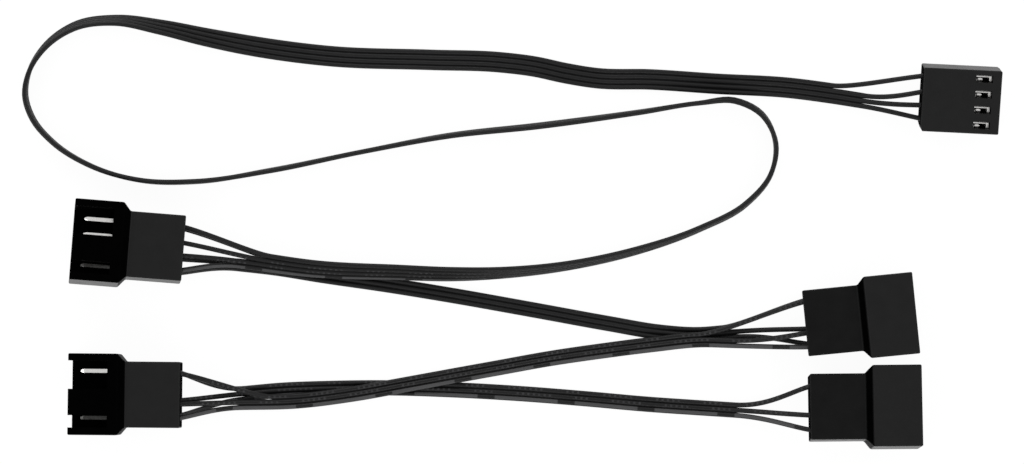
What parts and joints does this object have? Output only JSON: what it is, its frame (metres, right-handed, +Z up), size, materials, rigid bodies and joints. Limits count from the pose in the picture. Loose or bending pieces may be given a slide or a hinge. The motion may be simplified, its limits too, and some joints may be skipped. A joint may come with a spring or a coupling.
{
  "type": "fan splitter cable",
  "caption": "Flat black cable that splits a cooling fan header into a chain of keyed header sockets, with a windowed crimp plug at its far end.",
  "frame": {"origin": "middle of the footprint of the five connectors, on the table that the cable lies on", "axes": "+Z up from the table, +X along the cable's long runs towards the plug, +Y from the chain of sockets towards the plug's own run"},
  "size_m": [0.1592, 0.071, 0.01],
  "materials": {
    "housing_plastic": "black moulded nylon, satin",
    "tinned_metal": "tin plated brass, soft metallic",
    "wire_insulation": "black PVC insulation, slightly glossy"
  },
  "bodies": {
    "root": {"plug_housing": "housing_plastic", "plug_contact_control": "tinned_metal", "plug_contact_sense": "tinned_metal", "plug_contact_power": "tinned_metal", "plug_contact_ground": "tinned_metal", "header_1_housing": "housing_plastic", "header_1_pin_control": "tinned_metal", "header_1_pin_sense": "tinned_metal", "header_1_pin_power": "tinned_metal", "header_1_pin_ground": "tinned_metal", "header_2_housing": "housing_plastic", "header_2_pin_control": "tinned_metal", "header_2_pin_power": "tinned_metal", "header_2_pin_ground": "tinned_metal", "header_3_housing": "housing_plastic", "header_3_pin_control": "tinned_metal", "header_3_pin_power": "tinned_metal", "header_3_pin_ground": "tinned_metal", "header_4_housing": "housing_plastic", "header_4_pin_control": "tinned_metal", "header_4_pin_power": "tinned_metal", "header_4_pin_ground": "tinned_metal", "cable_1_wire_control": "wire_insulation", "cable_1_wire_sense": "wire_insulation", "cable_1_wire_power": "wire_insulation", "cable_1_wire_ground": "wire_insulation", "cable_2_wire_control": "wire_insulation", "cable_2_wire_power": "wire_insulation", "cable_2_wire_ground": "wire_insulation", "cable_3_wire_control": "wire_insulation", "cable_3_wire_power": "wire_insulation", "cable_3_wire_ground": "wire_insulation", "cable_4_wire_control": "wire_insulation", "cable_4_wire_power": "wire_insulation", "cable_4_wire_ground": "wire_insulation"}
  },
  "joints": []
}
